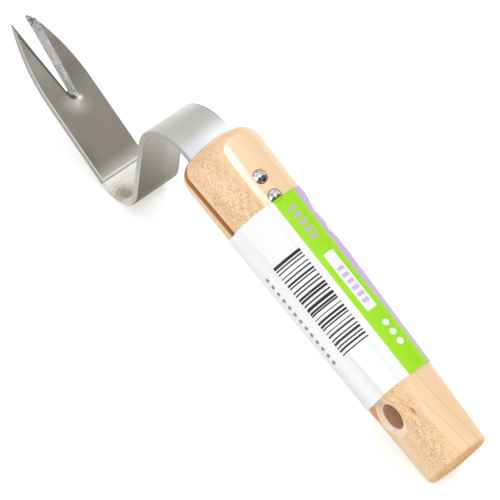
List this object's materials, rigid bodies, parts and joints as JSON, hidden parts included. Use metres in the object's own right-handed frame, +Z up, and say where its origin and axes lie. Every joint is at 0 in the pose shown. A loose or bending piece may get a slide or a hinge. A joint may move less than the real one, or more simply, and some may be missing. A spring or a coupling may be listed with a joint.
{
  "type": "hand weeding fork",
  "caption": "Hand weeding fork: a flat steel strip bent to a Z and split into pointed tines, riveted into the sawn end of a tapered wooden handle with a paper sleeve and a hanging hole.",
  "frame": {"origin": "on the table that the tool rests on, under the middle of its bounding box, when it stands on the heel of the fork and the lower edge of the handle's butt", "axes": "+X along the tool from the tines to the butt, +Z up through the rivets' heads, +Y across the tool, along the hanging hole"},
  "size_m": [0.187, 0.0246, 0.0548],
  "materials": {
    "blade_steel": "satin ground stainless steel, brighter at the ground notch",
    "handle_wood": "clear gloss lacquer on pale beech-like wood with ray flecks",
    "rivet_steel": "polished domed heads",
    "label_paper": "coated white paper with printed lime green and lilac bands"
  },
  "bodies": {
    "root": {"fork_blade": "blade_steel", "handle": "handle_wood", "front_rivet": "rivet_steel", "rear_rivet": "rivet_steel", "label_sleeve": "label_paper"}
  },
  "joints": []
}
